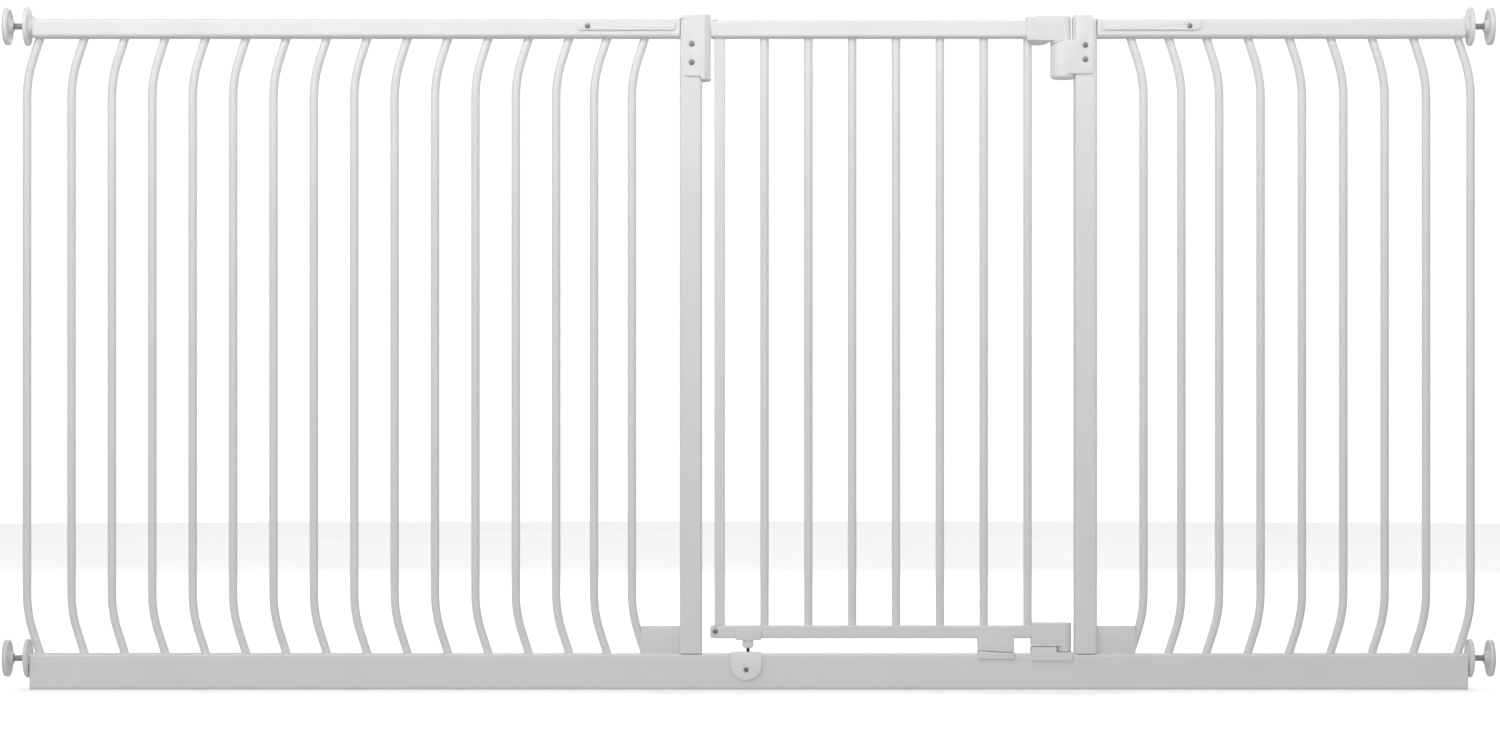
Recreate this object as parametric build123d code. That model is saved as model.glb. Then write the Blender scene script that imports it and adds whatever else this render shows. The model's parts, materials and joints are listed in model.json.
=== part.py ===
from build123d import *
import math
import os

# Pressure-fit safety gate for a wide doorway or stair head, in millimetres.
# +X runs to the right across the opening, +Y points away from the near side, +Z is up.
# The origin is midway between the two walls, in the middle of the gate's depth, at floor level.

# ---- overall size
SPAN = 2290.0                 # wall to wall, over the rubber faces of the pads
TOP_Z = 1030.0                # top of the side panels' rails and of the posts
FRAME_HALF_DEPTH = 17.0       # posts and rails are 34 mm deep

# ---- tubes of the fixed frame
BASE_HEIGHT = 55.0            # bottom rail
BASE_END = 1104.5             # its ends, either side of the middle
BASE_CORNER = 5.0
BASE_WALL = 1.5
TOP_RAIL_HEIGHT = 28.0
TOP_RAIL_END = 1100.0
TOP_RAIL_CORNER = 5.5
TOP_RAIL_WALL = 1.2
POST_WIDTH = 34.0
POST_CORNER = 5.0
POST_WALL = 1.2
LATCH_POST_X = -89.0
HINGE_POST_X = 518.0

# ---- upright bars
BAR_RADIUS = 6.5
BAR_BORE = 5.7
BAR_PITCH = 62.2              # left panel
RIGHT_PITCH = 63.7            # right panel
NEAR_PITCH = 58.3             # the bars next to the posts stand a little closer
OUTER_BAR_X = 1111.5          # the end bars bow out past the rails' ends
LEFT_FIRST_X = -1043.0
LEFT_REGULAR = 13
RIGHT_FIRST_X = 607.8
RIGHT_REGULAR = 5
BOW = 20.0                    # how far a bar's ends sit inwards of its middle
BEND_ANGLE = 18.0
BEND_RADIUS = 185.0
GUSSET_REACH = 59.5
GUSSET_HEIGHT = 42.0
GUSSET_HALF = 8.0

# ---- door
HINGE_X = 484.3
DOOR_RAIL_X0 = -49.0
DOOR_RAIL_X1 = 440.0
DOOR_TOP_Z = (1002.0, 1028.0)
DOOR_BOTTOM_Z = (78.0, 98.0)
DOOR_RAIL_HALF = 15.0         # half depth of the door's top rail
DOOR_SILL_HALF = 10.0         # half depth of the door's bottom rail
DOOR_CORNER = 4.0
DOOR_WALL = 1.2
STILE_X = -44.8
STILE_WIDTH = 16.0
DOOR_BAR_FIRST_X = 24.2
DOOR_BAR_PITCH = 67.5
DOOR_BAR_COUNT = 7

# ---- upper hinge with its rising cam
DRUM_RADIUS = 20.0
DRUM_BOTTOM = 939.0
ARM_BOTTOM = 945.5             # of the arm from the drum to the post
PIN_SEAT = 953.0              # floor of the upper pin's bore
CAM_LOW = 987.0
CAM_RISE = 10.0
CAM_HIGH = CAM_LOW + CAM_RISE
CAM_GAP = 0.4                 # oil gap between the cam and the ring that rides on it
SKIRT_GAP = 2.0               # between the cam and the block's skirt around that ring
HOUSING_TOP = 1036.0
HOUSING_HALF_DEPTH = 20.0
BLOCK_TOP = 1035.0
BLOCK_BOTTOM = 997.5
KEEL_DEPTH = 5.0              # how far the block's underside drops towards the back
SHOULDER_DROP = 2.0           # how far the block's top drops towards the rail
BLOCK_X0 = 427.0
BLOCK_HALF = 18.0
KNUCKLE_RADIUS = 11.5
UPPER_PIN_RADIUS = 5.0
LOWER_PIN_RADIUS = 4.0
RUNNING_FIT = 0.05            # radial clearance of a pin in its bore
RING_RADIUS = 9.0
RING_TOP = 1004.0

# ---- lower hinge
LOWER_BLOCK_X0 = 434.7
LOWER_BLOCK_Z = (66.8, 102.4)
LOWER_KNUCKLE_Z = 58.1
LOWER_KNUCKLE_RADIUS = 12.0
LOWER_SEAT_Z = 57.0
LOWER_STEP_Z = 65.1
SADDLE_HALF_DEPTH = 20.0
SADDLE_BOTTOM = 44.5

# ---- latch
CAP_X0 = -58.0
TONGUE_X0 = -66.0
TONGUE_Z = (1005.5, 1017.0)
TONGUE_HALF = 6.0
HOUSING_BOTTOM = 942.0
HOUSING_CORNER = 5.0
LIP_BOTTOM = 936.0            # of the housing's part beside the post
LATCH_TRAVEL = 8.0
LIFT = 10.0                   # how far the closed door can be lifted
SPRING_RADIUS = 3.6
WIRE_RADIUS = 0.5

# ---- sprung lock pin under the door
LOCK_X = -1.3
LOCK_TIP_Z = 56.0
LOCK_PIN_RADIUS = 2.6
LOCK_TRAVEL = 5.0

# ---- spindles that press the gate between the walls
TOP_SPINDLE_Z = 1020.0
BASE_SPINDLE_Z = 47.5
SPINDLE_RADIUS = 5.0
SPINDLE_FIT = 0.1
PAD_RADIUS = 28.75
WHEEL_RADIUS = 30.0
PLUG_LENGTH = 30.0

# ---- screws
SCREW_HEAD_RADIUS = 3.8
SCREW_HEAD_HEIGHT = 2.4
SCREW_SHANK_RADIUS = 2.2
LATCH_SCREW_X = -87.5
LATCH_SCREW_Z = (990.7, 962.3)
HINGE_SCREW_X = 516.7
HINGE_SCREW_Z = (989.0, 967.0)
SINK = 1.6                    # how deep a housing screw's head sits in its recess
RECESS_GAP = 1.0

# ---- covers over the joints between posts and side panels
PLATE_THICKNESS = 3.0
PLATE_LENGTH = 151.0
PLATE_CORNER = 6.0
PLATE_SCREW_REACH = 141.5     # from the post's face

# ---- blocks that carry the closed door's weight
SUPPORT_X = (352.5, 408.0)
SUPPORT_SLOPE = 3.6
SUPPORT_TOP = 59.0            # of the lower block, at its left end
SUPPORT_GAP = 0.7


def block(x0, x1, y0, y1, z0, z1):
    """A box between two corners."""
    middle = Pos((x0 + x1) / 2, (y0 + y1) / 2, (z0 + z1) / 2)
    return middle * Box(x1 - x0, y1 - y0, z1 - z0)


def x_rod(radius, x0, x1, y, z):
    """A cylinder along X."""
    return Pos((x0 + x1) / 2, y, z) * Rot(0, 90, 0) * Cylinder(radius, abs(x1 - x0))


def y_rod(radius, y0, y1, x, z):
    """A cylinder along Y."""
    return Pos(x, (y0 + y1) / 2, z) * Rot(90, 0, 0) * Cylinder(radius, abs(y1 - y0))


def z_rod(radius, z0, z1, x, y=0.0):
    """A cylinder along Z."""
    return Pos(x, y, (z0 + z1) / 2) * Cylinder(radius, abs(z1 - z0))


def tube_x(x0, x1, z0, z1, half_depth, corner, wall):
    """A rounded rectangular tube along X."""
    plane = Plane(origin=(x0, 0, (z0 + z1) / 2), x_dir=(0, 1, 0), z_dir=(1, 0, 0))
    depth, height = 2 * half_depth, z1 - z0
    skin = RectangleRounded(depth, height, corner)
    bore = RectangleRounded(depth - 2 * wall, height - 2 * wall, corner - wall)
    return extrude(plane * (skin - bore), amount=x1 - x0)


def tube_z(z0, z1, x, width, half_depth, corner, wall):
    """A rounded rectangular tube along Z."""
    depth = 2 * half_depth
    skin = RectangleRounded(width, depth, corner)
    bore = RectangleRounded(width - 2 * wall, depth - 2 * wall, corner - wall)
    return extrude(Pos(x, 0, z0) * (skin - bore), amount=z1 - z0)


def core_x(x0, x1, z0, z1, half_depth, corner, wall):
    """What fills the inside of tube_x, face to face."""
    plane = Plane(origin=(x0, 0, (z0 + z1) / 2), x_dir=(0, 1, 0), z_dir=(1, 0, 0))
    fill = RectangleRounded(2 * (half_depth - wall), z1 - z0 - 2 * wall, corner - wall)
    return extrude(plane * fill, amount=x1 - x0)


def front_screw(x, z, face_y, length):
    """A pan-head screw driven from the near side, its head seated at face_y."""
    head = y_rod(SCREW_HEAD_RADIUS, face_y - SCREW_HEAD_HEIGHT, face_y, x, z)
    head = chamfer(head.edges().group_by(Axis.Y)[0], 0.7)
    return head + y_rod(SCREW_SHANK_RADIUS, face_y - 0.1, face_y + length, x, z)


def coil(radius, wire, height, turns):
    """A compression spring standing on the origin along Z, with its outline as one tube of wire."""
    rise = height - 2 * wire
    path = Helix(pitch=rise / turns, height=rise, radius=radius - wire)
    section = Plane(origin=path @ 0, z_dir=path % 0) * Circle(wire)
    return Pos(0, 0, wire) * sweep(section, path=path, is_frenet=True)


# ---------------------------------------------------------------- fixed frame

def bowed_path(z0, z1, side):
    """The middle line of a bar that stands at X = 0 and leans inwards at both ends."""
    reach = BOW / math.tan(math.radians(BEND_ANGLE))
    run_out = 8.0
    over = run_out * math.tan(math.radians(BEND_ANGLE))
    end = -side * (BOW + over)
    foot, head = (end, 0, z0 - run_out), (end, 0, z1 + run_out)
    return FilletPolyline(foot, (0, 0, z0 + reach), (0, 0, z1 - reach), head, radius=BEND_RADIUS)


def bowed_bar(side, solid=False):
    """One bent tube between the bottom rail and a side panel's top rail."""
    z0, z1 = BASE_HEIGHT, TOP_Z - TOP_RAIL_HEIGHT
    path = bowed_path(z0, z1, side)
    ring = Circle(BAR_RADIUS)
    if not solid:
        ring = ring - Circle(BAR_BORE)
    bar = sweep(Plane(origin=path @ 0, z_dir=path % 0) * ring, path=path)
    return bar & block(-80, 80, -20, 20, z0, z1)


def left_bar_places():
    regular = [LEFT_FIRST_X + i * BAR_PITCH for i in range(LEFT_REGULAR)]
    near = [regular[-1] + (i + 1) * NEAR_PITCH for i in range(2)]
    return [-OUTER_BAR_X] + regular + near


def right_bar_places():
    near = [RIGHT_FIRST_X + i * NEAR_PITCH for i in range(3)]
    regular = [near[-1] + (i + 1) * RIGHT_PITCH for i in range(RIGHT_REGULAR)]
    return near + regular + [OUTER_BAR_X]


def panel_bars(side, places):
    bar = bowed_bar(side)
    return Compound(children=[Pos(x, 0, 0) * bar for x in places])


def post_face(side):
    """X of the post's face that a side panel meets."""
    if side < 0:
        return LATCH_POST_X - POST_WIDTH / 2
    return HINGE_POST_X + POST_WIDTH / 2


def foot_gusset(side, places):
    """The plate that braces a post's foot against the panel's nearest bar."""
    start = post_face(side)
    low, high = sorted((start, start + side * GUSSET_REACH))
    plate = block(low, high, -GUSSET_HALF, GUSSET_HALF, BASE_HEIGHT, BASE_HEIGHT + GUSSET_HEIGHT)
    nearest = min(places, key=lambda x: abs(x - start))
    return plate - Pos(nearest, 0, 0) * bowed_bar(side, solid=True)


def joint_plate(side):
    """The thin cover over the joint between a post and its panel's top rail."""
    inner = post_face(side) + side * 7
    low, high = sorted((inner, inner + side * PLATE_LENGTH))
    near = -FRAME_HALF_DEPTH - PLATE_THICKNESS
    plate = block(low, high, near, -FRAME_HALF_DEPTH, TOP_Z - 17.5, TOP_Z - 1)
    return fillet(plate.edges().filter_by(Axis.Y).group_by(Axis.Z)[0], PLATE_CORNER)


def joint_plate_screw(side):
    x = post_face(side) + side * PLATE_SCREW_REACH
    return front_screw(x, TOP_Z - 11.5, -FRAME_HALF_DEPTH - PLATE_THICKNESS, 12)


def end_plug(side, end, z0, z1, corner, wall, spindle_z):
    """A moulded plug in a rail's open end that guides the spindle."""
    low, high = sorted((side * end, side * (end - PLUG_LENGTH)))
    plug = core_x(low, high, z0, z1, FRAME_HALF_DEPTH, corner, wall)
    return plug - x_rod(SPINDLE_RADIUS + SPINDLE_FIT, low - 1, high + 1, 0, spindle_z)


def latch_housing():
    """The moulded catch on the latch post: cap, front cheek and a pocket open at the back."""
    left, right = LATCH_POST_X - POST_WIDTH / 2, CAP_X0 - 0.6
    half = HOUSING_HALF_DEPTH
    body = block(left + 6, right, -half, half, HOUSING_BOTTOM, HOUSING_TOP)
    body = chamfer(body.edges().filter_by(Axis.Z).group_by(Axis.X)[-1], 9)
    body = fillet(body.edges().filter_by(Axis.Y).group_by(Axis.X)[0].sort_by(Axis.Z)[0], HOUSING_CORNER)
    lip = block(LATCH_POST_X + POST_WIDTH / 2 - 2, right, -half, half, LIP_BOTTOM, HOUSING_BOTTOM + 8)
    lip = chamfer(lip.edges().filter_by(Axis.Z).group_by(Axis.X)[-1], 9)
    body = body + fillet(lip.edges().group_by(Axis.Z)[0], 3)
    crown = block(left, left + 8, -half, half, TOP_Z, HOUSING_TOP)
    crown = chamfer(crown.edges().filter_by(Axis.Y).group_by(Axis.X)[0].sort_by(Axis.Z)[-1], 5)
    body = body + crown
    body = fillet(body.faces().sort_by(Axis.Z)[-1].edges().filter_by(Axis.X), 1.2)
    post = block(left - 1, left + POST_WIDTH, -FRAME_HALF_DEPTH, FRAME_HALF_DEPTH, 900, TOP_Z)
    pocket = block(right - 10, right + 1, -9, half + 1, 1003.5, 1030.5)
    return body - post - pocket - screw_recesses(LATCH_SCREW_X, LATCH_SCREW_Z)


def screw_recesses(x, heights):
    """Round seats that let the housing screws' heads sit below the near face."""
    face = -HOUSING_HALF_DEPTH
    return [y_rod(SCREW_HEAD_RADIUS + RECESS_GAP, face - 1, face + SINK, x, z) for z in heights]


def housing_screws(x, heights):
    """Screws that clamp a housing to its post, heads sunk a little in the near face."""
    return [front_screw(x, z, -HOUSING_HALF_DEPTH + SINK, 14) for z in heights]


def cam_space(gap):
    """What lies above the V-shaped cam: two quarter turns that climb from the left to front and back."""
    sections = []
    steps = 6
    for i in range(steps + 1):
        turn = 180 + 90 * i / steps
        floor = CAM_LOW + CAM_RISE * i / steps + gap
        roof = CAM_HIGH + 4 + gap
        outward = (math.cos(math.radians(turn)), math.sin(math.radians(turn)), 0)
        across = (-outward[1], outward[0], 0)
        plane = Plane(origin=(HINGE_X, 0, (floor + roof) / 2), x_dir=outward, z_dir=across)
        sections.append(plane * Pos(14, 0, 0) * Rectangle(26, roof - floor))
    front = loft(sections)
    return front, mirror(front, about=Plane.XZ)


def hinge_housing():
    """The moulded upper hinge on the hinge post, with the drum and its cam."""
    right = HINGE_POST_X + POST_WIDTH / 2 - 6
    post_left = HINGE_POST_X - POST_WIDTH / 2
    half = HOUSING_HALF_DEPTH
    drum = z_rod(DRUM_RADIUS, DRUM_BOTTOM, CAM_HIGH, HINGE_X)
    drum = fillet(drum.edges().group_by(Axis.Z)[0], 5)
    arm = block(HINGE_X, right, -half, half, ARM_BOTTOM, CAM_HIGH)
    arm = fillet(arm.edges().group_by(Axis.X)[-1].group_by(Axis.Z)[0], 5)
    tower = block(HINGE_X + 14.2, right, -half, half, CAM_HIGH - 1, HOUSING_TOP)
    tower = fillet(tower.edges().filter_by(Axis.Z).group_by(Axis.X)[0], 10)
    tower = fillet(tower.edges().group_by(Axis.Z)[-1], 2.5)
    body = drum + arm + tower
    front, back = cam_space(0)
    ledge = z_rod(DRUM_RADIUS + 0.01, CAM_LOW, CAM_HIGH + 2, HINGE_X)
    body = body - (front & ledge) - (back & ledge)
    body = body - block(post_left, right + 1, -FRAME_HALF_DEPTH, FRAME_HALF_DEPTH, 900, TOP_Z)
    body = body - z_rod(UPPER_PIN_RADIUS + RUNNING_FIT, PIN_SEAT, CAM_HIGH + 1, HINGE_X)
    body = body - z_rod(2.5, DRUM_BOTTOM - 1, PIN_SEAT + 1, HINGE_X)
    return body - screw_recesses(HINGE_SCREW_X, HINGE_SCREW_Z)


def lower_hinge_saddle():
    """The saddle on the bottom rail that carries the lower pin."""
    x1 = HINGE_POST_X - POST_WIDTH / 2 - 3
    half = SADDLE_HALF_DEPTH
    low = block(LOWER_BLOCK_X0, x1, -half, half, SADDLE_BOTTOM, LOWER_SEAT_Z)
    step = block(LOWER_BLOCK_X0, HINGE_X - 6, -half, half, LOWER_SEAT_Z - 1, LOWER_STEP_Z)
    body = low + (step - z_rod(LOWER_KNUCKLE_RADIUS + 0.8, LOWER_SEAT_Z, LOWER_STEP_Z + 1, HINGE_X))
    body = body - block(HINGE_X - 12, HINGE_X + 1, -half - 1, half + 1, LOWER_SEAT_Z, LOWER_STEP_Z + 1)
    body = fillet(body.edges().filter_by(Axis.Z).group_by(Axis.X)[-1], 3)
    body = body - block(LOWER_BLOCK_X0 - 1, x1 + 1, -FRAME_HALF_DEPTH, FRAME_HALF_DEPTH, 0, BASE_HEIGHT)
    return body - z_rod(LOWER_PIN_RADIUS + RUNNING_FIT, SADDLE_BOTTOM, LOWER_STEP_Z, HINGE_X)


def support_wedge(z_left, z_right, z_far, half):
    """A block whose far face is level and whose other face slopes down to the right."""
    x0, x1 = SUPPORT_X
    plane = Plane(origin=(0, half, 0), x_dir=(1, 0, 0), z_dir=(0, -1, 0))
    outline = Polyline((x0, z_left), (x1, z_right), (x1, z_far), (x0, z_far), close=True)
    return extrude(plane * make_face(outline), amount=2 * half)


def rail_support_block():
    """The lower half of the pair of blocks that carries the closed door's weight."""
    body = support_wedge(SUPPORT_TOP, SUPPORT_TOP - SUPPORT_SLOPE, 46.5, SADDLE_HALF_DEPTH)
    return body - block(300, 450, -FRAME_HALF_DEPTH, FRAME_HALF_DEPTH, 0, BASE_HEIGHT)


def pin_keeper():
    """The clip on the bottom rail that holds the lock pin, with a notch open at the back."""
    x = LOCK_X - 2.9
    radius = 23.9
    round_z = 38.2
    face = -FRAME_HALF_DEPTH
    disc = y_rod(radius, face - 5, face, x, round_z)
    upper = block(x - radius, x + radius, face - 5, face, round_z, LOCK_TIP_Z + 1.5)
    plate = (disc & block(x - 30, x + 30, face - 6, face + 1, 0, round_z)) + upper
    ramp_plane = Plane(origin=(x - radius - 1, 0, 0), x_dir=(0, 1, 0), z_dir=(1, 0, 0))
    outline = [(face - 5.5, 44), (face - 5, 44), (face - 2.5, 58), (face - 5.5, 58)]
    corner = make_face(Polyline(*outline, close=True))
    plate = plate - extrude(ramp_plane * corner, amount=2 * radius + 2)
    shelf = block(x - radius, x + radius, face, 6, BASE_HEIGHT, LOCK_TIP_Z + 1.5)
    notch = block(LOCK_X - 3.5, LOCK_X + 3.5, -3.5, 10, BASE_HEIGHT - 1, LOCK_TIP_Z + 3)
    nose = z_rod(3.5, BASE_HEIGHT - 1, LOCK_TIP_Z + 3, LOCK_X, -3.5)
    return plate + (shelf - notch - nose)


def keeper_screw():
    return front_screw(LOCK_X - 2.9, 30.8, -FRAME_HALF_DEPTH - 5, 15)


# ---------------------------------------------------------------- door

def door_bars():
    z0, z1 = DOOR_BOTTOM_Z[1], DOOR_TOP_Z[0]
    bar = z_rod(BAR_RADIUS, z0, z1, 0) - z_rod(BAR_BORE, z0, z1, 0)
    places = [DOOR_BAR_FIRST_X + i * DOOR_BAR_PITCH for i in range(DOOR_BAR_COUNT)]
    return Compound(children=[Pos(x, 0, 0) * bar for x in places])


def knuckle_plan(x0, waist, half, radius):
    """Plan of a hinge block: a flat sleeve that narrows to the round knuckle on the axis."""
    sleeve = Pos((x0 + waist) / 2, 0) * Rectangle(waist - x0, 2 * half)
    lean = math.asin((half - radius) / (HINGE_X - waist))
    touch_x = HINGE_X + radius * math.sin(lean)
    touch_y = radius * math.cos(lean)
    taper = [(waist, -half), (touch_x, -touch_y), (touch_x, touch_y), (waist, half)]
    return sleeve + make_face(Polyline(*taper, close=True)) + Pos(HINGE_X, 0) * Circle(radius)


def hinge_block_keel(plan):
    """The underside of the upper hinge block, which swells downwards at the back."""
    end = HINGE_X - DRUM_RADIUS - 0.8
    start = Plane(origin=(BLOCK_X0, 0, 0), x_dir=(0, 1, 0), z_dir=(1, 0, 0))
    high, low = BLOCK_BOTTOM + 0.5, BLOCK_BOTTOM - KEEL_DEPTH
    outline = [(-BLOCK_HALF, high), (-BLOCK_HALF, BLOCK_BOTTOM), (BLOCK_HALF, low), (BLOCK_HALF, high)]
    wedge = extrude(start * make_face(Polyline(*outline, close=True)), amount=end - BLOCK_X0)
    belly = y_rod(38, -BLOCK_HALF, BLOCK_HALF, (BLOCK_X0 + end) / 2, low + 38)
    slab = extrude(Pos(0, 0, low - 1) * plan, amount=high - low + 1)
    return wedge & belly & slab


def hinge_block_shoulder():
    """What is cut off the block's top so that it drops towards the rail."""
    plane = Plane(origin=(0, BLOCK_HALF + 1, 0), x_dir=(1, 0, 0), z_dir=(0, -1, 0))
    low, high = BLOCK_TOP - SHOULDER_DROP, BLOCK_TOP + 1
    x0 = BLOCK_X0 - 1
    outline = [(x0, low), (x0 + 9, low), (x0 + 28, BLOCK_TOP), (x0 + 28, high), (x0, high)]
    return extrude(plane * make_face(Polyline(*outline, close=True)), amount=2 * BLOCK_HALF + 2)


def upper_hinge_block():
    """The moulded end of the door's top rail, which rides on the housing's cam."""
    plan = knuckle_plan(BLOCK_X0, BLOCK_X0 + 12, BLOCK_HALF, KNUCKLE_RADIUS)
    body = extrude(Pos(0, 0, BLOCK_BOTTOM) * plan, amount=BLOCK_TOP - BLOCK_BOTTOM)
    body = fillet(body.edges().group_by(Axis.Z)[-1], 3) - hinge_block_shoulder()
    body = body + hinge_block_keel(plan)
    skirt = extrude(Pos(0, 0, CAM_LOW - 2) * plan, amount=BLOCK_BOTTOM + 0.5 - CAM_LOW + 2)
    skirt = skirt & z_rod(DRUM_RADIUS - 0.2, CAM_LOW - 3, CAM_HIGH + 2, HINGE_X)
    front, back = cam_space(SKIRT_GAP)
    body = body + (skirt & front) + (skirt & back)
    body = body - z_rod(RING_RADIUS + 0.3, CAM_LOW - 3, RING_TOP + 0.05, HINGE_X)
    body = body - z_rod(UPPER_PIN_RADIUS + RUNNING_FIT, CAM_LOW, 1031, HINGE_X)
    rail = block(BLOCK_X0 - 1, DOOR_RAIL_X1, -DOOR_RAIL_HALF, DOOR_RAIL_HALF, *DOOR_TOP_Z)
    last_bar = DOOR_BAR_FIRST_X + (DOOR_BAR_COUNT - 1) * DOOR_BAR_PITCH
    low = BLOCK_BOTTOM - KEEL_DEPTH - 1
    return body - rail - z_rod(BAR_RADIUS + 0.5, low, DOOR_TOP_Z[0], last_bar)


def cam_follower():
    """The ring in the upper hinge block that climbs the cam as the door swings."""
    ring = z_rod(RING_RADIUS, CAM_HIGH + CAM_GAP, RING_TOP, HINGE_X)
    foot = z_rod(RING_RADIUS, CAM_LOW - 2, CAM_HIGH + CAM_GAP + 0.5, HINGE_X)
    front, back = cam_space(CAM_GAP)
    ring = ring + (foot & front) + (foot & back)
    return ring - z_rod(UPPER_PIN_RADIUS + RUNNING_FIT, CAM_LOW - 5, RING_TOP + 5, HINGE_X)


def lower_hinge_block():
    """The moulded end of the door's bottom rail with the lower knuckle."""
    low, high = LOWER_BLOCK_Z
    radius = LOWER_KNUCKLE_RADIUS
    plan = knuckle_plan(LOWER_BLOCK_X0, LOWER_BLOCK_X0 + 30, radius + 1, radius)
    body = extrude(Pos(0, 0, low) * plan, amount=high - low)
    body = body + z_rod(LOWER_KNUCKLE_RADIUS, LOWER_KNUCKLE_Z, low + 1, HINGE_X)
    body = fillet(body.edges().group_by(Axis.Z)[-1], 2)
    rail = block(LOWER_BLOCK_X0 - 1, DOOR_RAIL_X1 + 14, -DOOR_SILL_HALF, DOOR_SILL_HALF, *DOOR_BOTTOM_Z)
    last_bar = DOOR_BAR_FIRST_X + (DOOR_BAR_COUNT - 1) * DOOR_BAR_PITCH
    body = body - rail - z_rod(BAR_RADIUS, DOOR_BOTTOM_Z[1], high + 1, last_bar)
    return body - z_rod(LOWER_PIN_RADIUS + RUNNING_FIT, LOWER_KNUCKLE_Z - 1, 98.5, HINGE_X)


def hinge_pin(radius, z0, z1):
    return chamfer(z_rod(radius, z0, z1, HINGE_X).edges().filter_by(GeomType.CIRCLE), 0.6)


def latch_case():
    """End cap and inner case of the latch, a press fit in the door's top rail."""
    z0, z1 = DOOR_TOP_Z
    cap = block(CAP_X0, DOOR_RAIL_X0, -DOOR_RAIL_HALF, DOOR_RAIL_HALF, z0, z1)
    cap = fillet(cap.edges().filter_by(Axis.X), DOOR_CORNER)
    cap = chamfer(cap.edges().group_by(Axis.X)[0], 1.2)
    case = core_x(DOOR_RAIL_X0 - 1, 24, z0, z1, DOOR_RAIL_HALF, DOOR_CORNER, DOOR_WALL)
    side = TONGUE_HALF + 0.3
    slot = block(CAP_X0 - 1, 20, -side, side, TONGUE_Z[0] - 0.3, TONGUE_Z[1] + 0.3)
    return cap + case - slot - thumb_slot()


def thumb_slot():
    """The opening along the top in which the slider's neck travels."""
    return block(CAP_X0 + 1.5, -41, -3.3, 3.3, 1010, DOOR_TOP_Z[1] + 1)


def latch_slider():
    """Tongue, neck and thumb tab in one moulding, pulled back against the spring."""
    bar = block(TONGUE_X0, -12, -TONGUE_HALF, TONGUE_HALF, *TONGUE_Z)
    bar = chamfer(bar.edges().group_by(Axis.X)[0], 1.5)
    neck = block(-56, -50, -3, 3, TONGUE_Z[1] - 1, DOOR_TOP_Z[1] + 0.6)
    tab = block(-57, -48, -9, 9, DOOR_TOP_Z[1] + 0.5, DOOR_TOP_Z[1] + 3.2)
    return bar + neck + chamfer(tab.edges().group_by(Axis.Z)[-1], 0.8)


def latch_spring():
    middle = (TONGUE_Z[0] + TONGUE_Z[1]) / 2
    return Pos(-11.8, 0, middle) * Rot(0, 90, 0) * coil(SPRING_RADIUS, WIRE_RADIUS, 31.5, 9)


def sill_end_cap():
    z0, z1 = DOOR_BOTTOM_Z
    cap = block(-59.5, DOOR_RAIL_X0, -DOOR_SILL_HALF, DOOR_SILL_HALF, z0 + 0.5, z1 - 0.5)
    cap = fillet(cap.edges().filter_by(Axis.Y).group_by(Axis.X)[0], 3)
    return cap + core_x(DOOR_RAIL_X0 - 1, -30, z0, z1, DOOR_SILL_HALF, 3.5, DOOR_WALL)


def sill_screw():
    return front_screw(-51.5, 89.0, -DOOR_SILL_HALF, 12)


def pin_carrier():
    """The shoe under the door's bottom rail that holds the lock pin."""
    z0, z1 = DOOR_BOTTOM_Z
    x0, x1 = LOCK_X - 19.0, LOCK_X + 20.5
    shoe = block(x0, x1, -DOOR_SILL_HALF - 2.5, DOOR_SILL_HALF + 2.5, z0 - 2.6, z0 + 14)
    shoe = fillet(shoe.edges().filter_by(Axis.Y), 2.5)
    return shoe - block(x0 - 1, x1 + 1, -DOOR_SILL_HALF, DOOR_SILL_HALF, z0, z1)


def pin_sleeve():
    top = DOOR_BOTTOM_Z[0] - 2.6
    sleeve = z_rod(8.6, 63.2, top, LOCK_X)
    sleeve = chamfer(sleeve.edges().group_by(Axis.Z)[0], 2.5)
    sleeve = sleeve - z_rod(4.6, 66, top - 0.8, LOCK_X)
    return sleeve - z_rod(LOCK_PIN_RADIUS + RUNNING_FIT, 60, 70, LOCK_X)


def lock_pin():
    pin = z_rod(LOCK_PIN_RADIUS, LOCK_TIP_Z, 68, LOCK_X)
    pin = chamfer(pin.edges().group_by(Axis.Z)[0], 0.6)
    return pin + z_rod(4.2, 66.2, 67.6, LOCK_X)


def lock_pin_spring():
    return Pos(LOCK_X, 0, 68.1) * coil(3.9, 0.35, 6.3, 5)


# ---------------------------------------------------------------- spindles

def hand_wheel(side, inner, rim_start, z):
    """A nut with a large rim: hub against the rail, rim next to the wall pad."""
    rim_end = rim_start + 7
    rim = x_rod(WHEEL_RADIUS, side * rim_start, side * rim_end, 0, z)
    rim = fillet(rim.edges().filter_by(GeomType.CIRCLE), 2)
    hub = x_rod(16.5, side * inner, side * (rim_start + 1), 0, z)
    nut = rim + hub
    return nut - x_rod(SPINDLE_RADIUS + RUNNING_FIT, side * 1050, side * 1140, 0, z)


def spindle(side, z):
    rod = x_rod(SPINDLE_RADIUS, side * 1045, side * 1138.5, 0, z)
    return chamfer(rod.edges().filter_by(GeomType.CIRCLE), 0.8)


def wall_pad(side, z):
    """The pad's moulded disc with the socket for the spindle's end."""
    face = SPAN / 2 - 2.5
    disc = x_rod(PAD_RADIUS, side * (face - 5), side * face, 0, z)
    disc = fillet(disc.edges().filter_by(GeomType.CIRCLE).group_by(Axis.X)[0 if side > 0 else -1], 1.5)
    hub = x_rod(9, side * (face - 11), side * (face - 4), 0, z)
    return disc + hub - spindle(side, z)


def pad_face(side, z):
    """The soft rubber disc that grips the wall."""
    outer = SPAN / 2
    disc = x_rod(PAD_RADIUS - 0.6, side * (outer - 2.5), side * outer, 0, z)
    rim = disc.edges().filter_by(GeomType.CIRCLE).group_by(Axis.X)[-1 if side > 0 else 0]
    return fillet(rim, 0.8)


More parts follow.
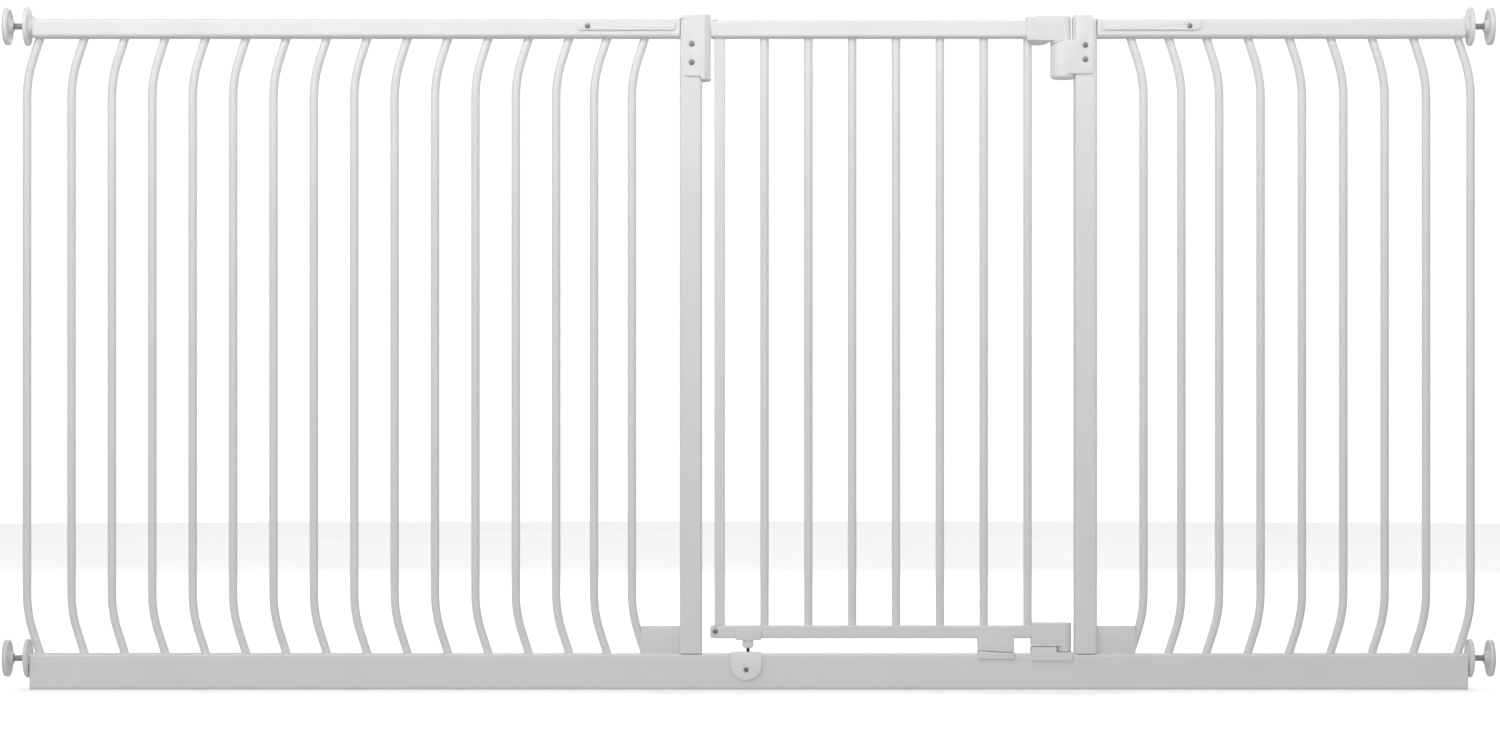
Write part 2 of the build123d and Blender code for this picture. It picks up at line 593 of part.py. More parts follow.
def spindle_sets():
    """Wheel, rod, pad and rubber face for each of the four corners."""
    nodes = {}
    for side, side_name in ((-1, "left"), (1, "right")):
        for z, level, inner, rim in (
            (TOP_SPINDLE_Z, "top", TOP_RAIL_END + 0.4, 1107.0),
            (BASE_SPINDLE_Z, "bottom", BASE_END + 0.4, 1106.5),
        ):
            name = f"{level}_{side_name}"
            nodes[f"{name}_hand_wheel"] = hand_wheel(side, inner, rim, z)
            nodes[f"{name}_spindle"] = spindle(side, z)
            nodes[f"{name}_wall_pad"] = wall_pad(side, z)
            nodes[f"{name}_pad_rubber"] = pad_face(side, z)
    return nodes


# ---------------------------------------------------------------- assembly

def frame_nodes():
    left_places, right_places = left_bar_places(), right_bar_places()
    rail_z0 = TOP_Z - TOP_RAIL_HEIGHT
    depth = FRAME_HALF_DEPTH
    latch_screws = housing_screws(LATCH_SCREW_X, LATCH_SCREW_Z)
    hinge_screws = housing_screws(HINGE_SCREW_X, HINGE_SCREW_Z)
    plate_screws = {side: joint_plate_screw(side) for side in (-1, 1)}

    base = tube_x(-BASE_END, BASE_END, 0, BASE_HEIGHT, depth, BASE_CORNER, BASE_WALL)
    base = base - z_rod(LOWER_PIN_RADIUS + RUNNING_FIT, 50, 60, HINGE_X) - keeper_screw()
    posts = {}
    for x, screws in ((LATCH_POST_X, latch_screws), (HINGE_POST_X, hinge_screws)):
        post = tube_z(BASE_HEIGHT, TOP_Z, x, POST_WIDTH, depth, POST_CORNER, POST_WALL)
        for screw in screws:
            post = post - screw
        posts[x] = post
    rails = {}
    for side, end in ((-1, -TOP_RAIL_END), (1, TOP_RAIL_END)):
        low, high = sorted((post_face(side), end))
        rail = tube_x(low, high, rail_z0, TOP_Z, depth, TOP_RAIL_CORNER, TOP_RAIL_WALL)
        rails[side] = rail - plate_screws[side]

    housing, catch = hinge_housing(), latch_housing()
    for screw in hinge_screws:
        housing = housing - screw
    for screw in latch_screws:
        catch = catch - screw
    nodes = {
        "bottom_rail": base,
        "latch_post": posts[LATCH_POST_X],
        "hinge_post": posts[HINGE_POST_X],
        "left_top_rail": rails[-1],
        "right_top_rail": rails[1],
        "left_bars": panel_bars(-1, left_places),
        "right_bars": panel_bars(1, right_places),
        "left_foot_gusset": foot_gusset(-1, left_places),
        "right_foot_gusset": foot_gusset(1, right_places),
        "left_joint_plate": joint_plate(-1) - plate_screws[-1],
        "right_joint_plate": joint_plate(1) - plate_screws[1],
        "joint_plate_screws": Compound(children=list(plate_screws.values())),
        "latch_housing": catch,
        "latch_housing_screws": Compound(children=latch_screws),
        "hinge_housing": housing,
        "hinge_housing_screws": Compound(children=hinge_screws),
        "lower_hinge_saddle": lower_hinge_saddle(),
        "rail_support_block": rail_support_block(),
        "pin_keeper": pin_keeper() - keeper_screw(),
        "pin_keeper_screw": keeper_screw(),
    }
    for side, side_name in ((-1, "left"), (1, "right")):
        nodes[f"top_{side_name}_end_plug"] = end_plug(
            side, TOP_RAIL_END, rail_z0, TOP_Z, TOP_RAIL_CORNER, TOP_RAIL_WALL, TOP_SPINDLE_Z
        )
        nodes[f"bottom_{side_name}_end_plug"] = end_plug(
            side, BASE_END, 0, BASE_HEIGHT, BASE_CORNER, BASE_WALL, BASE_SPINDLE_Z
        )
    return nodes


def door_nodes():
    top0, top1 = DOOR_TOP_Z
    sill0, sill1 = DOOR_BOTTOM_Z
    top_rail = tube_x(DOOR_RAIL_X0, DOOR_RAIL_X1, top0, top1, DOOR_RAIL_HALF, DOOR_CORNER, DOOR_WALL)
    sill = tube_x(DOOR_RAIL_X0, DOOR_RAIL_X1 + 14, sill0, sill1, DOOR_SILL_HALF, 3.5, DOOR_WALL)
    start = SUPPORT_TOP + SUPPORT_GAP
    support = support_wedge(start, start - SUPPORT_SLOPE, sill0 + 5, DOOR_SILL_HALF + 3)
    inside_sill = block(300, 450, -DOOR_SILL_HALF, DOOR_SILL_HALF, sill0, sill1)
    return {
        "door_top_rail": top_rail - thumb_slot(),
        "door_bottom_rail": sill - sill_screw(),
        "door_stile": tube_z(sill1, top0, STILE_X, STILE_WIDTH, 8, 2.5, 1.2),
        "door_bars": door_bars(),
        "upper_hinge_block": upper_hinge_block(),
        "lower_hinge_block": lower_hinge_block(),
        "cam_follower_ring": cam_follower(),
        "upper_hinge_pin": hinge_pin(UPPER_PIN_RADIUS, PIN_SEAT + 0.2, 1030),
        "lower_hinge_pin": hinge_pin(LOWER_PIN_RADIUS, SADDLE_BOTTOM + 0.5, 97),
        "door_support_block": support - inside_sill,
        "latch_case": latch_case(),
        "latch_slider": latch_slider(),
        "latch_spring": latch_spring(),
        "sill_end_cap": sill_end_cap() - sill_screw(),
        "sill_end_screw": sill_screw(),
        "pin_carrier": pin_carrier(),
        "pin_sleeve": pin_sleeve(),
        "lock_pin": lock_pin(),
        "lock_pin_spring": lock_pin_spring(),
    }


def main():
    os.makedirs("parts", exist_ok=True)
    for name, shape in {**frame_nodes(), **door_nodes(), **spindle_sets()}.items():
        export_step(shape, f"parts/{name}.step")


main()
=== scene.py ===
import json
import math

import bpy
from mathutils import Matrix, Vector


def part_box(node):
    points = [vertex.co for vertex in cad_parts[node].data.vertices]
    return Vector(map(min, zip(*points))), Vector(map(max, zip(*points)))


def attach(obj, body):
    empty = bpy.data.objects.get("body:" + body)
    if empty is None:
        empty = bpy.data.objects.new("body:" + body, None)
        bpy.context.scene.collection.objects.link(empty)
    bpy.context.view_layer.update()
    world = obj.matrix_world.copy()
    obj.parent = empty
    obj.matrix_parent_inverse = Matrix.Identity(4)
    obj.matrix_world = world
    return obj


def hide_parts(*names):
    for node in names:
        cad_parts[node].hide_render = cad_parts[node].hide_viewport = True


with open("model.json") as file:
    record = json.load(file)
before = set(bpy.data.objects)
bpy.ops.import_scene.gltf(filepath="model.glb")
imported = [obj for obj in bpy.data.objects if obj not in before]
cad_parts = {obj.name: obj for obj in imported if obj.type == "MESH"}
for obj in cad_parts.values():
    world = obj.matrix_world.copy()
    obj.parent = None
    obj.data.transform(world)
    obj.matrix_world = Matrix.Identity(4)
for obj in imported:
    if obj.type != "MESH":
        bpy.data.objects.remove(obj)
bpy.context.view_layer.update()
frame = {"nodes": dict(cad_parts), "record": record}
nodes = frame["nodes"]
MM = 0.001


# ---------------------------------------------------------------- materials

def new_material(name):
    """An empty material with its shader, and a helper that adds nodes to it."""
    material = bpy.data.materials.new(name)
    material.use_nodes = True
    tree = material.node_tree
    shader = tree.nodes["Principled BSDF"]
    coords = tree.nodes.new("ShaderNodeTexCoord").outputs["Object"]
    return material, tree, shader, coords


def noise(tree, coords, scale, detail=3.0):
    """Noise on the piece's own coordinates; scale is in features per metre."""
    node = tree.nodes.new("ShaderNodeTexNoise")
    node.inputs["Scale"].default_value = scale
    node.inputs["Detail"].default_value = detail
    tree.links.new(coords, node.inputs["Vector"])
    return node.outputs["Fac"]


def spread(tree, factor, low, high, at_low=0.3, at_high=0.7):
    """Maps a 0 to 1 factor onto a range of values."""
    node = tree.nodes.new("ShaderNodeMapRange")
    node.inputs["From Min"].default_value = at_low
    node.inputs["From Max"].default_value = at_high
    node.inputs["To Min"].default_value = low
    node.inputs["To Max"].default_value = high
    tree.links.new(factor, node.inputs["Value"])
    return node.outputs["Result"]


def tint(tree, shader, factor, dark, light):
    """Base colour that drifts between two tones."""
    ramp = tree.nodes.new("ShaderNodeValToRGB")
    ramp.color_ramp.elements[0].position = 0.3
    ramp.color_ramp.elements[0].color = (*dark, 1)
    ramp.color_ramp.elements[1].position = 0.7
    ramp.color_ramp.elements[1].color = (*light, 1)
    tree.links.new(factor, ramp.inputs["Fac"])
    tree.links.new(ramp.outputs["Color"], shader.inputs["Base Color"])


def bump(tree, shader, height, depth):
    """Surface relief of the given depth in metres."""
    node = tree.nodes.new("ShaderNodeBump")
    node.inputs["Distance"].default_value = depth
    node.inputs["Strength"].default_value = 1.0
    tree.links.new(height, node.inputs["Height"])
    tree.links.new(node.outputs["Normal"], shader.inputs["Normal"])


def powder_coat():
    """White baked powder coat on steel: a soft orange peel under a satin gloss."""
    material, tree, shader, coords = new_material("powder_coat")
    tint(tree, shader, noise(tree, coords, 9, 2), (0.80, 0.80, 0.795), (0.83, 0.83, 0.825))
    rough = spread(tree, noise(tree, coords, 60, 4), 0.30, 0.40)
    tree.links.new(rough, shader.inputs["Roughness"])
    bump(tree, shader, noise(tree, coords, 900, 2), 0.00003)
    shader.inputs["Coat Weight"].default_value = 0.25
    shader.inputs["Coat Roughness"].default_value = 0.18
    return material


def moulded_white():
    """White moulded plastic with a fine spark-eroded grain."""
    material, tree, shader, coords = new_material("moulded_white")
    tint(tree, shader, noise(tree, coords, 25, 3), (0.795, 0.802, 0.802), (0.825, 0.832, 0.832))
    rough = spread(tree, noise(tree, coords, 300, 3), 0.36, 0.48)
    tree.links.new(rough, shader.inputs["Roughness"])
    bump(tree, shader, noise(tree, coords, 2600, 4), 0.00004)
    shader.inputs["Subsurface Weight"].default_value = 0.08
    shader.inputs["Subsurface Radius"].default_value = (0.002, 0.002, 0.002)
    return material


def milky_plastic():
    """Milky, half clear plastic of the lock pin's keeper and sleeve."""
    material, tree, shader, coords = new_material("milky_plastic")
    tint(tree, shader, noise(tree, coords, 60, 3), (0.90, 0.93, 0.925), (0.94, 0.965, 0.96))
    rough = spread(tree, noise(tree, coords, 400, 3), 0.28, 0.4)
    tree.links.new(rough, shader.inputs["Roughness"])
    bump(tree, shader, noise(tree, coords, 1800, 3), 0.00003)
    shader.inputs["Transmission Weight"].default_value = 0.05
    shader.inputs["IOR"].default_value = 1.49
    shader.inputs["Subsurface Weight"].default_value = 0.3
    shader.inputs["Subsurface Radius"].default_value = (0.004, 0.004, 0.004)
    return material


def self_oiling_plastic():
    """Matt, waxy plastic of the ring that rides on the cam."""
    material, tree, shader, coords = new_material("self_oiling_plastic")
    tint(tree, shader, noise(tree, coords, 80, 3), (0.80, 0.79, 0.76), (0.85, 0.84, 0.81))
    tree.links.new(spread(tree, noise(tree, coords, 500, 2), 0.5, 0.65), shader.inputs["Roughness"])
    return material


def black_plastic():
    """Black moulded plastic of the lock pin."""
    material, tree, shader, coords = new_material("black_plastic")
    tint(tree, shader, noise(tree, coords, 200, 3), (0.012, 0.012, 0.012), (0.025, 0.025, 0.025))
    tree.links.new(spread(tree, noise(tree, coords, 900, 2), 0.35, 0.5), shader.inputs["Roughness"])
    return material


def metal(name, dark, light, smooth, rough, scale):
    """A metal whose tone and polish vary a little."""
    material, tree, shader, coords = new_material(name)
    shader.inputs["Metallic"].default_value = 1.0
    tint(tree, shader, noise(tree, coords, scale, 3), dark, light)
    tree.links.new(spread(tree, noise(tree, coords, scale * 6, 3), smooth, rough), shader.inputs["Roughness"])
    return material


def grey_rubber():
    """Soft light grey rubber of the wall pads, with a dusty bloom."""
    material, tree, shader, coords = new_material("grey_rubber")
    tint(tree, shader, noise(tree, coords, 70, 4), (0.60, 0.61, 0.605), (0.68, 0.69, 0.685))
    tree.links.new(spread(tree, noise(tree, coords, 400, 3), 0.7, 0.88), shader.inputs["Roughness"])
    bump(tree, shader, noise(tree, coords, 1500, 4), 0.00006)
    return material


FINISHES = {
    "painted_steel": powder_coat(),
    "white_plastic": moulded_white(),
    "milky_plastic": milky_plastic(),
    "acetal": self_oiling_plastic(),
    "black_plastic": black_plastic(),
    # Screw heads: zinc plate, toned far darker than bare zinc; the dark tone is painted shade standing in for
    # the shadow in the screws' recesses
    "plated_steel": metal("dark_zinc_with_painted_recess_shade", (0.22, 0.22, 0.225), (0.34, 0.34, 0.35), 0.2, 0.32, 220),
    "spring_steel": metal("spring_wire", (0.40, 0.40, 0.41), (0.52, 0.52, 0.52), 0.3, 0.45, 300),
    "chrome_plate": metal("chrome_plate", (0.42, 0.43, 0.44), (0.58, 0.59, 0.60), 0.06, 0.14, 150),
    "pad_rubber": grey_rubber(),
}
SLOT_OF = {part["node"]: part["material_slot"] for part in frame["record"]["subparts"]}
BODY_OF = {n: body for body, names in frame["record"]["behaviour"]["bodies"].items() for n in names}


def finish_cad_nodes():
    for name, node in nodes.items():
        for slot in node.material_slots:
            slot.material = FINISHES[SLOT_OF[name]]


# ---------------------------------------------------------------- making pieces

def deselect():
    bpy.ops.object.select_all(action="DESELECT")


def pick(piece, kind, test):
    """Selects the points, edges or faces whose middle passes the test, and stays in edit mode."""
    bpy.ops.object.mode_set(mode="EDIT")
    bpy.ops.mesh.select_mode(type=kind)
    bpy.ops.mesh.select_all(action="DESELECT")
    bpy.ops.object.mode_set(mode="OBJECT")
    mesh = piece.data
    if kind == "VERT":
        for point in mesh.vertices:
            point.select = test(point.co)
    elif kind == "EDGE":
        for edge in mesh.edges:
            ends = [mesh.vertices[i].co for i in edge.vertices]
            edge.select = test((ends[0] + ends[1]) / 2)
    else:
        for face in mesh.polygons:
            face.select = test(face.center)
    bpy.ops.object.mode_set(mode="EDIT")


def turned(name, profile, sides=64):
    """A body turned on a lathe about Z: (radius, height) rings in millimetres, closed at both ends."""
    deselect()
    radius, height = profile[0]
    bpy.ops.mesh.primitive_circle_add(
        vertices=sides, radius=radius * MM, fill_type="NGON", location=(0, 0, height * MM)
    )
    piece = bpy.context.object
    bpy.ops.object.transform_apply(location=True)
    bpy.ops.object.mode_set(mode="EDIT")
    bpy.ops.mesh.select_all(action="SELECT")
    for next_radius, next_height in profile[1:]:
        rise = (next_height - height) * MM
        bpy.ops.mesh.extrude_region_move(TRANSFORM_OT_translate={"value": (0, 0, rise)})
        grow = next_radius / radius
        bpy.ops.transform.resize(value=(grow, grow, 1), center_override=(0, 0, next_height * MM))
        radius, height = next_radius, next_height
    bpy.ops.mesh.select_all(action="SELECT")
    bpy.ops.mesh.normals_make_consistent(inside=False)
    bpy.ops.object.mode_set(mode="OBJECT")
    piece.name = name
    return piece


def apply_modifier(piece, kind, **settings):
    """Adds a modifier, sets it up and applies it."""
    deselect()
    piece.select_set(True)
    bpy.context.view_layer.objects.active = piece
    modifier = piece.modifiers.new(kind.lower(), kind)
    for key, value in settings.items():
        setattr(modifier, key, value)
    bpy.ops.object.modifier_apply(modifier=modifier.name)


def smooth(piece, angle=35):
    deselect()
    piece.select_set(True)
    bpy.context.view_layer.objects.active = piece
    bpy.ops.object.shade_smooth_by_angle(angle=math.radians(angle))


def place(piece, turn, where):
    """Turns and moves a finished piece, and puts the move into its mesh."""
    piece.data.transform(Matrix.Translation(Vector(where)) @ turn)
    piece.data.update()


def copy_of(piece, name):
    """Another of the same piece, with its own mesh."""
    twin = piece.copy()
    twin.data = piece.data.copy()
    twin.name = name
    bpy.context.scene.collection.objects.link(twin)
    return twin


def join(pieces, name):
    deselect()
    for piece in pieces:
        piece.select_set(True)
    bpy.context.view_layer.objects.active = pieces[0]
    bpy.ops.object.join()
    whole = bpy.context.object
    whole.name = name
    return whole


def discard(piece):
    bpy.data.objects.remove(piece)


def fit_piece(piece, slot_name, stands_for):
    """Gives a finished piece its material and its body, and hides the CAD nodes it stands for."""
    piece.data.materials.clear()
    piece.data.materials.append(FINISHES[slot_name])
    for face in piece.data.polygons:
        face.material_index = 0
    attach(piece, BODY_OF[stands_for[0]])
    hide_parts(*stands_for)


# ---------------------------------------------------------------- wall fittings

TO_LEFT = Matrix.Rotation(-math.pi / 2, 4, "Y")
TO_RIGHT = Matrix.Rotation(math.pi / 2, 4, "Y")


def corner_sets():
    """(name, turn that points a piece's Z outwards, height of the spindle)."""
    for side_name, turn in (("left", TO_LEFT), ("right", TO_RIGHT)):
        for level in ("top", "bottom"):
            name = f"{level}_{side_name}"
            low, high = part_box(f"{name}_spindle")
            yield name, turn, (low[2] + high[2]) / 2


def wheel_profile(hub, rim):
    """Hub face, neck, rounded rim, dished outer face and boss; heights count outwards."""
    return [
        (6.4, hub + 1.4), (6.2, hub), (15.2, hub), (16.1, hub + 0.5), (16.5, hub + 1.2),
        (16.5, max(rim - 1.4, hub + 1.3)), (17.0, max(rim - 0.5, hub + 1.4)), (18.2, rim),
        (26.4, rim + 0.1), (28.2, rim + 0.5), (29.4, rim + 1.3), (30.0, rim + 2.6), (30.0, rim + 4.4),
        (29.4, rim + 5.7), (28.2, rim + 6.5), (26.6, rim + 6.95), (25.4, rim + 6.9), (24.6, rim + 6.4),
        (23.8, rim + 5.4), (22.8, rim + 5.1), (12.8, rim + 4.9), (11.9, rim + 5.3), (11.2, rim + 6.3),
        (10.4, rim + 6.8), (9.4, rim + 7.0), (6.6, rim + 7.0), (6.2, rim + 6.5), (6.0, rim + 4.8),
    ]


def wheel_rib(rim):
    """One of the low ribs across the dish."""
    deselect()
    bpy.ops.mesh.primitive_cube_add(size=1, location=(18 * MM, 0, (rim + 5.1) * MM))
    rib = bpy.context.object
    rib.scale = (12.8 * MM, 1.6 * MM, 1.6 * MM)
    bpy.ops.object.transform_apply(location=True, scale=True)
    pick(rib, "FACE", lambda c: c.z > (rim + 5.6) * MM)
    bpy.ops.mesh.inset(thickness=0.25 * MM)
    bpy.ops.transform.translate(value=(0, 0, 0.2 * MM))
    bpy.ops.object.mode_set(mode="OBJECT")
    return rib


def hand_wheels():
    for name, turn, z in corner_sets():
        low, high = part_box(f"{name}_hand_wheel")
        near = min(abs(low[0]), abs(high[0])) / MM
        rim = max(abs(low[0]), abs(high[0])) / MM - 7
        wheel = turned(f"{name}_rimmed_wheel", wheel_profile(near, rim), 96)
        parts = [wheel]
        first = wheel_rib(rim)
        for i in range(8):
            rib = copy_of(first, "rib")
            place(rib, Matrix.Rotation(i * math.pi / 4, 4, "Z"), (0, 0, 0))
            parts.append(rib)
        discard(first)
        wheel = join(parts, f"{name}_rimmed_wheel")
        smooth(wheel)
        place(wheel, turn, (0, 0, z))
        fit_piece(wheel, "white_plastic", [f"{name}_hand_wheel"])


def pad_profile(socket):
    """Short socket, flat inner face with a raised ring, and rounded edge of the pad's disc."""
    face = socket + 11
    return [
        (5.7, socket + 1.6), (5.6, socket + 0.2), (6.0, socket), (8.2, socket), (8.8, socket + 0.4),
        (9.0, socket + 1.2), (9.1, socket + 5.6), (9.6, socket + 6.5), (10.6, socket + 7.0),
        (22.6, socket + 7.0), (23.3, socket + 6.7), (23.9, socket + 6.1), (24.8, socket + 5.9),
        (26.9, socket + 6.1), (28.1, socket + 6.7), (28.75, socket + 7.9), (28.75, socket + 10.5),
        (28.6, face - 0.1), (28.2, face),
    ]


def rubber_profile(back, front):
    """Soft disc with three rings of grip cut into its face."""
    rings = [
        (28.15, back - 0.1), (28.15, front - 1.0), (27.95, front - 0.4),
        (27.4, front - 0.1), (26.6, front),
    ]
    for middle in (23.0, 16.5, 10.0):
        groove = front - 0.7
        rings += [(middle + 1.2, front), (middle + 0.9, groove), (middle - 0.9, groove), (middle - 1.2, front)]
    return rings


def wall_pads():
    for name, turn, z in corner_sets():
        low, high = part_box(f"{name}_wall_pad")
        socket = min(abs(low[0]), abs(high[0])) / MM
        pad = turned(f"{name}_pad_disc", pad_profile(socket), 80)
        smooth(pad)
        place(pad, turn, (0, 0, z))
        fit_piece(pad, "white_plastic", [f"{name}_wall_pad"])
        low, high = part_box(f"{name}_pad_rubber")
        back, front = sorted((abs(low[0]) / MM, abs(high[0]) / MM))
        rubber = turned(f"{name}_grip_face", rubber_profile(back, front), 80)
        smooth(rubber)
        place(rubber, turn, (0, 0, z))
        fit_piece(rubber, "pad_rubber", [f"{name}_pad_rubber"])


THREAD_PITCH = 1.5
THREAD_TOP = 5.0
THREAD_ROOT = 4.4


def thread(start, turns):
    """A helical ridge that winds along Z from start."""
    deselect()
    depth, foot = THREAD_TOP - THREAD_ROOT, 1.3
    middle = (THREAD_TOP + THREAD_ROOT) / 2 * MM
    bpy.ops.mesh.primitive_plane_add(size=1, rotation=(math.pi / 2, 0, 0), location=(middle, 0, start * MM))
    ridge = bpy.context.object
    ridge.scale = (depth * MM, foot * MM, 1)
    bpy.ops.object.transform_apply(location=True, rotation=True, scale=True)
    pick(ridge, "VERT", lambda c: c.x > middle)
    bpy.ops.transform.resize(value=(1, 1, 0.16), center_override=(0, 0, start * MM))
    bpy.ops.object.mode_set(mode="OBJECT")
    apply_modifier(
        ridge, "SCREW", axis="Z", angle=2 * math.pi, screw_offset=THREAD_PITCH * MM,
        iterations=turns, steps=24, render_steps=24,
    )
    bpy.ops.object.mode_set(mode="EDIT")
    bpy.ops.mesh.select_all(action="SELECT")
    bpy.ops.mesh.remove_doubles(threshold=0.00001)
    bpy.ops.mesh.fill_holes(sides=0)
    bpy.ops.mesh.select_all(action="SELECT")
    bpy.ops.mesh.normals_make_consistent(inside=False)
    bpy.ops.object.mode_set(mode="OBJECT")
    return ridge


def spindles():
    """Plated screws between the rails and the pads."""
    for name, turn, z in corner_sets():
        low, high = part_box(f"{name}_spindle")
        inner, outer = sorted((abs(low[0]) / MM, abs(high[0]) / MM))
        root = THREAD_ROOT + 0.12
        core = [(3.4, inner), (root, inner + 1.1), (root, outer - 1.1), (3.4, outer)]
        rod = turned(f"{name}_rod", core, 48)
        turns = int((outer - inner - 5) / THREAD_PITCH)
        ridge = thread(inner + 2.4, turns)
        rod = join([rod, ridge], f"{name}_threaded_rod")
        smooth(rod, 50)
        place(rod, turn, (0, 0, z))
        fit_piece(rod, "chrome_plate", [f"{name}_spindle"])


# ---------------------------------------------------------------- screws

def cross_cutter():
    """The driver's cross, tapering into the head; the head's top is at zero height."""
    blades = []
    for turn in (0, math.pi / 2):
        deselect()
        bpy.ops.mesh.primitive_cube_add(size=1, location=(0, 0, 0))
        blade = bpy.context.object
        blade.scale = (4.6 * MM, 0.95 * MM, 3.0 * MM)
        bpy.ops.object.transform_apply(location=True, scale=True)
        pick(blade, "FACE", lambda c: c.z < -1.4 * MM)
        bpy.ops.transform.resize(value=(0.45, 0.7, 1))
        bpy.ops.object.mode_set(mode="OBJECT")
        place(blade, Matrix.Rotation(turn, 4, "Z"), (0, 0, 0))
        blades.append(blade)
    return blades


def pan_screw():
    """A pan-head screw with a cross recess; its head's top is at zero height, its shank points down."""
    rings = [
        (1.2, -11.5), (2.1, -10.4), (2.15, -2.5), (2.3, -2.4), (3.45, -2.4), (3.7, -2.25), (3.8, -1.95),
        (3.8, -1.5), (3.7, -1.05), (3.45, -0.65), (3.05, -0.32), (2.5, -0.1), (1.9, 0.0),
    ]
    screw = turned("screw", rings, 48)
    for blade in cross_cutter():
        apply_modifier(screw, "BOOLEAN", operation="DIFFERENCE", object=blade, solver="EXACT")
        discard(blade)
    smooth(screw, 30)
    return screw


FACING = Matrix.Rotation(math.pi / 2, 4, "X")


def screw_places(node):
    """Middles of the screw heads in a node, from the node's own near faces."""
    mesh = nodes[node].data
    near = min(v.co.y for v in mesh.vertices)
    spots = []
    for point in mesh.vertices:
        if point.co.y > near + 0.02 * MM:
            continue
        for spot in spots:
            if (Vector((point.co.x, point.co.z)) - Vector(spot[0])).length < 8 * MM:
                spot.append((point.co.x, point.co.z))
                break
        else:
            spots.append([(point.co.x, point.co.z)])
    return near, [
        ((min(p[0] for p in s) + max(p[0] for p in s)) / 2, (min(p[1] for p in s) + max(p[1] for p in s)) / 2)
        for s in spots
    ]


SCREW_NODES = (
    "joint_plate_screws", "latch_housing_screws", "hinge_housing_screws", "pin_keeper_screw", "sill_end_screw",
)


def screws():
    """Every screw that shows, each turned a little differently as screws are."""
    master = pan_screw()
    spin = 0.3
    for node in SCREW_NODES:
        near, middles = screw_places(node)
        heads = []
        for x, z in middles:
            head = copy_of(master, node)
            spin += 0.7
            place(head, FACING @ Matrix.Rotation(spin, 4, "Z"), (x, near, z))
            heads.append(head)
        piece = join(heads, f"cross_{node}") if len(heads) > 1 else heads[0]
        piece.name = f"cross_{node}"
        # The plated steel finish of the screws carries painted recess shade in its dark tone
        fit_piece(piece, "plated_steel", [node])
    discard(master)


# ---------------------------------------------------------------- eased mouldings

FLAT_ANGLE = math.radians(1)       # faces closer than this are one flat face
SHARP_ANGLE = math.radians(28)     # edges sharper than this are rounded


def eased(node, width):
    """A copy of a CAD node with its sharp edges rounded, as a moulding or a painted tube has them."""
    piece = copy_of(nodes[node], f"eased_{node}")
    deselect()
    piece.select_set(True)
    bpy.context.view_layer.objects.active = piece
    bpy.ops.mesh.customdata_custom_splitnormals_clear()
    bpy.ops.object.mode_set(mode="EDIT")
    bpy.ops.mesh.select_all(action="SELECT")
    bpy.ops.mesh.remove_doubles(threshold=0.000002)
    bpy.ops.mesh.dissolve_limited(angle_limit=FLAT_ANGLE)
    bpy.ops.object.mode_set(mode="OBJECT")
    apply_modifier(
        piece, "BEVEL", width=width * MM, segments=3, limit_method="ANGLE",
        angle_limit=SHARP_ANGLE, use_clamp_overlap=True,
    )
    smooth(piece, 32)
    fit_piece(piece, SLOT_OF[node], [node])


EASED = {
    "latch_housing": 1.3, "hinge_housing": 1.2, "upper_hinge_block": 1.2, "lower_hinge_block": 1.0,
    "lower_hinge_saddle": 1.0, "rail_support_block": 1.2, "door_support_block": 1.2, "pin_keeper": 1.0,
    "pin_carrier": 0.8, "pin_sleeve": 0.5, "sill_end_cap": 0.8, "latch_case": 0.8, "latch_slider": 0.5,
    "left_joint_plate": 0.7, "right_joint_plate": 0.7, "left_foot_gusset": 1.2, "right_foot_gusset": 1.2,
}


def eased_mouldings():
    for node, width in EASED.items():
        eased(node, width)


# ---------------------------------------------------------------- stage

def stage_piece(piece, material):
    """Floor or wall: seen by the camera, without throwing its own white back at the gate."""
    piece.data.materials.append(material)
    piece.visible_diffuse = False
    piece.visible_glossy = False
    piece.visible_shadow = False


def pale_floor():
    deselect()
    bpy.ops.mesh.primitive_plane_add(size=1, location=(0, 0, 0))
    floor = bpy.context.object
    floor.name = "studio_floor"
    floor.scale = (60, 60, 1)
    bpy.ops.object.transform_apply(location=True, scale=True)
    material, tree, shader, coords = new_material("studio_white")
    tint(tree, shader, noise(tree, coords, 0.6, 2), (0.865, 0.865, 0.865), (0.885, 0.885, 0.885))
    tree.links.new(spread(tree, noise(tree, coords, 2, 2), 0.4, 0.5), shader.inputs["Roughness"])
    stage_piece(floor, material)
    return floor


def pale_wall():
    """A round wall that glows evenly, so that the gate stands before plain white from every side."""
    wall = turned("studio_wall", [(15000, -20), (15000, 17000)], 96)
    material, _, shader, _ = new_material("studio_glow")
    shader.inputs["Base Color"].default_value = (0, 0, 0, 1)
    shader.inputs["Emission Color"].default_value = (1, 1, 1, 1)
    shader.inputs["Emission Strength"].default_value = 1.05
    stage_piece(wall, material)


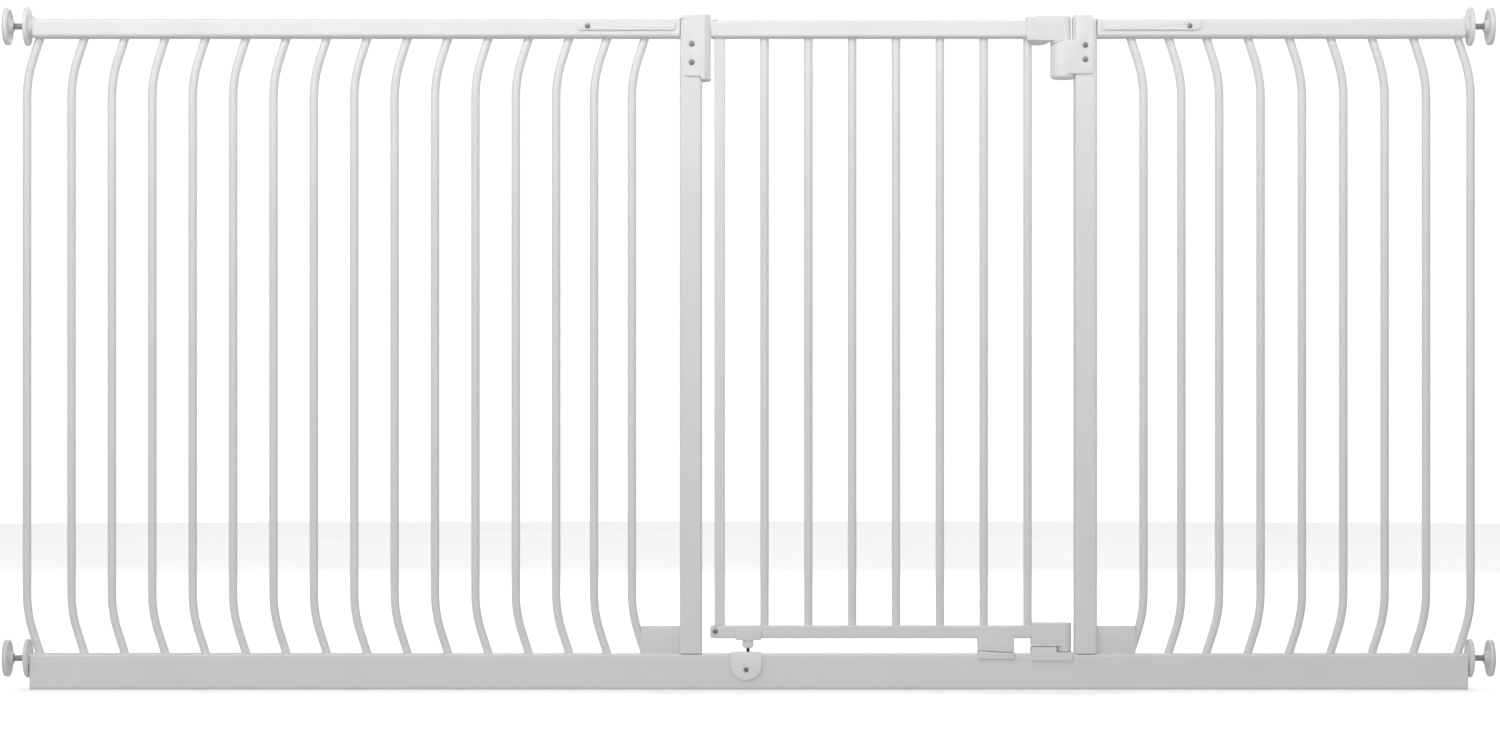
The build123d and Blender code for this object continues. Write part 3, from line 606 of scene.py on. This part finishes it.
def soft_light(name, where, target, size, power, only=None):
    """An area light; with only, it lights that object and nothing else."""
    light = bpy.data.lights.new(name, "AREA")
    light.shape = "RECTANGLE"
    light.size, light.size_y = size
    light.energy = power
    lamp = bpy.data.objects.new(name, light)
    lamp.location = where
    lamp.visible_camera = False
    lamp.rotation_euler = (Vector(target) - Vector(where)).to_track_quat("-Z", "Y").to_euler()
    bpy.context.scene.collection.objects.link(lamp)
    if only:
        group = bpy.data.collections.new(f"lit_by_{name}")
        group.objects.link(only)
        lamp.light_linking.receiver_collection = group


def studio():
    floor = pale_floor()
    pale_wall()
    soft_light("key", (-2.4, -2.6, 2.2), (-0.2, 0, 0.75), (2.4, 2.0), 19)
    soft_light("upper_strip", (-0.3, -1.2, 1.6), (-0.15, 0, 0.95), (3.4, 0.3), 2.5)
    soft_light("rail_strip", (0.1, -0.45, 1.32), (0.1, 0, 1.0), (3.2, 0.15), 3.8)
    soft_light("front", (0, -4.0, 1.2), (0, 0, 0.5), (3, 1.5), 14)
    soft_light("back_fill", (0.3, 4.5, 3.0), (0, 0, 0.5), (3, 2), 60)
    soft_light("floor_wash", (0, 0, 6.0), (0, 0, 0), (60, 60), 7200, floor)
    world = bpy.data.worlds.new("studio")
    world.use_nodes = True
    world.node_tree.nodes["Background"].inputs["Color"].default_value = (1, 1, 1, 1)
    world.node_tree.nodes["Background"].inputs["Strength"].default_value = 0.48
    bpy.context.scene.world = world
    bpy.context.scene.view_settings.view_transform = "Standard"


def camera():
    """Level view from the near side, square to the gate."""
    width = 2.31
    distance = 5.4
    eye = bpy.data.cameras.new("camera")
    eye.sensor_width = 36
    eye.lens = 36 * distance / width
    eye.shift_y = 0.0567
    holder = bpy.data.objects.new("camera", eye)
    holder.location = (0.0018, -distance, 0.35)
    holder.rotation_euler = (math.pi / 2, 0, 0)
    bpy.context.scene.collection.objects.link(holder)
    bpy.context.scene.camera = holder


camera()
studio()
finish_cad_nodes()
hand_wheels()
wall_pads()
spindles()
screws()
eased_mouldings()
